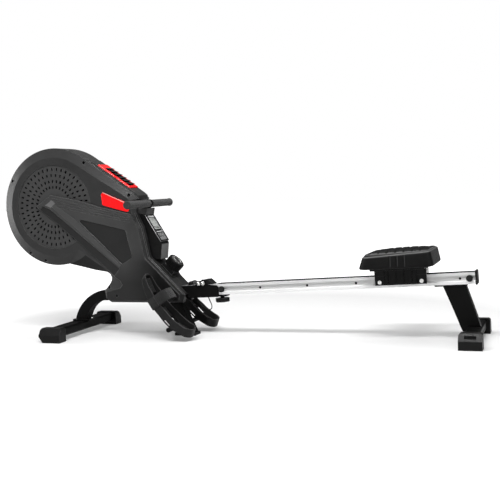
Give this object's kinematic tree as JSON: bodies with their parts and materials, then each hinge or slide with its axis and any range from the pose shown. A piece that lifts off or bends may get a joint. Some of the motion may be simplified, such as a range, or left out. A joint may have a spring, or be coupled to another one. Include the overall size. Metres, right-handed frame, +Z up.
{
  "type": "rowing machine",
  "caption": "Folding air and magnetic rowing machine with a caged fan drum, sliding seat on a single rail, pull handle on a strap, pivoting strapped foot pedals and a small console.",
  "frame": {"origin": "floor level, at the middle of the machine's length and width", "axes": "+X from the fan drum to the rear foot, along the rail; +Y to the rower's right; +Z up"},
  "size_m": [2.146, 0.554, 0.8489],
  "materials": {
    "frame_black": "satin black powder coat",
    "cover_grey": "fine-grained dark grey moulding",
    "panel_black": "fine-grained near-black moulding",
    "grille_black": "matt black moulding",
    "red": "glossy red moulding",
    "black_plastic": "matt black moulding",
    "zinc": "bright zinc plate",
    "dark_steel": "oiled steel",
    "rail_alu": "clear anodised",
    "grip_foam": "closed-cell foam",
    "seat_skin": "black vinyl",
    "rubber_black": "matt rubber",
    "cradle_grey": "grey moulding",
    "console_silver": "silver paint",
    "display": "clear window over a grey display",
    "button_grey": "soft-touch grey",
    "webbing": "woven nylon",
    "fan_plastic": "moulded nylon",
    "roller_white": "acetal"
  },
  "bodies": {
    "frame": {"front_stabilizer": "frame_black", "front_caps": "black_plastic", "main_frame": "frame_black", "hinge_bracket": "frame_black", "hinge_bolts": "zinc", "middle_leg": "frame_black", "middle_foot_pad": "rubber_black", "left_cover": "cover_grey", "right_cover": "cover_grey", "left_grille": "grille_black", "right_grille": "grille_black", "left_side_panel": "panel_black", "right_side_panel": "panel_black", "side_accents": "red", "top_vent": "red", "cover_screws": "dark_steel", "handle_cradle": "cradle_grey", "console_pod": "black_plastic", "console_face": "console_silver", "console_lens": "display", "knob_base": "black_plastic", "fan_forks": "frame_black", "drive_shafts": "dark_steel", "frame_fasteners": "zinc", "drive_belt": "rubber_black", "pedal_axle": "zinc", "brake_cable": "rubber_black", "sensor_lead": "rubber_black"},
    "fan": {"impeller": "fan_plastic", "flywheel": "dark_steel", "fan_bearings": "zinc"},
    "spool": {"strap_spool": "fan_plastic"},
    "handle": {"handle_bar": "frame_black", "hand_grips": "grip_foam", "pull_strap": "webbing"},
    "brake": {"brake_arm": "dark_steel", "brake_magnets": "dark_steel"},
    "knob": {"resistance_knob": "black_plastic", "knob_dial": "console_silver"},
    "left_foot": {"left_pedal": "black_plastic", "left_pedal_strap": "webbing"},
    "right_foot": {"right_pedal": "black_plastic", "right_pedal_strap": "webbing"},
    "rail": {"rail": "rail_alu", "rail_hinge_block": "black_plastic", "rail_screws": "zinc", "rail_stops": "rubber_black", "rail_end_cap": "black_plastic", "rear_leg": "frame_black", "rear_stabilizer": "frame_black", "rear_caps": "black_plastic"},
    "lock": {"lock_knob": "black_plastic"},
    "seat": {"seat_pad": "seat_skin", "seat_board": "black_plastic", "seat_carriage": "black_plastic", "roller_bolts": "zinc"},
    "front_wheels": {"front_rollers": "roller_white"},
    "rear_wheels": {"rear_rollers": "roller_white"},
    "mode_key": {"mode_button": "button_grey"},
    "reset_key": {"reset_button": "button_grey"}
  },
  "joints": [
    {"name": "fan_spin", "type": "hinge", "parent": "frame", "child": "fan", "pos_m": [-0.808, 0, 0.584], "axis": [0, 1, 0], "continuous": true},
    {"name": "handle_pull", "type": "slide", "parent": "frame", "child": "handle", "axis": [1, 0, 0], "range_m": [0, 1.1], "deforming": ["pull_strap"]},
    {"name": "spool_turn", "type": "hinge", "parent": "frame", "child": "spool", "pos_m": [-0.497, 0, 0.5371], "axis": [0, 1, 0], "range_deg": [0, 1400]},
    {"name": "resistance_turn", "type": "hinge", "parent": "frame", "child": "knob", "pos_m": [-0.28316, 0, 0.28739], "axis": [0.7114, 0, 0.7028], "range_deg": [0, 270]},
    {"name": "brake_swing", "type": "hinge", "parent": "frame", "child": "brake", "pos_m": [-0.547, -0.06, 0.61], "axis": [0, -1, 0], "range_deg": [0, 10]},
    {"name": "left_pedal_tilt", "type": "hinge", "parent": "frame", "child": "left_foot", "pos_m": [-0.312, -0.134, 0.194], "axis": [0, -1, 0], "range_deg": [0, 30]},
    {"name": "right_pedal_tilt", "type": "hinge", "parent": "frame", "child": "right_foot", "pos_m": [-0.312, 0.134, 0.194], "axis": [0, -1, 0], "range_deg": [0, 30]},
    {"name": "rail_fold", "type": "hinge", "parent": "frame", "child": "rail", "pos_m": [-0.109, 0, 0.231], "axis": [0, -1, 0], "range_deg": [0, 85]},
    {"name": "lock_turn", "type": "hinge", "parent": "frame", "child": "lock", "pos_m": [-0.03449, 0, 0.17415], "axis": [-0.0429, 0, 0.9991], "continuous": true},
    {"name": "seat_slide", "type": "slide", "parent": "rail", "child": "seat", "axis": [0.9991, 0, 0.0429], "range_m": [-0.65, 0.15]},
    {"name": "front_roller_spin", "type": "hinge", "parent": "seat", "child": "front_wheels", "pos_m": [0.66308, 0, 0.23414], "axis": [0, 1, 0], "range_deg": [-3600, 900]},
    {"name": "rear_roller_spin", "type": "hinge", "parent": "seat", "child": "rear_wheels", "pos_m": [0.82992, 0, 0.24131], "axis": [0, 1, 0], "range_deg": [-3600, 900]},
    {"name": "mode_press", "type": "slide", "parent": "frame", "child": "mode_key", "axis": [-0.8569, 0, -0.5156], "range_m": [0, 0.0015], "stiffness_N_per_m": 600},
    {"name": "reset_press", "type": "slide", "parent": "frame", "child": "reset_key", "axis": [-0.8569, 0, -0.5156], "range_m": [0, 0.0015], "stiffness_N_per_m": 600}
  ],
  "couplings": [
    {"joint": "spool_turn", "follows": "handle_pull", "rad_per_m": 21.692},
    {"joint": "brake_swing", "follows": "resistance_turn", "ratio": 0.037037},
    {"joint": "front_roller_spin", "follows": "seat_slide", "rad_per_m": 93.458},
    {"joint": "rear_roller_spin", "follows": "seat_slide", "rad_per_m": 93.458}
  ]
}
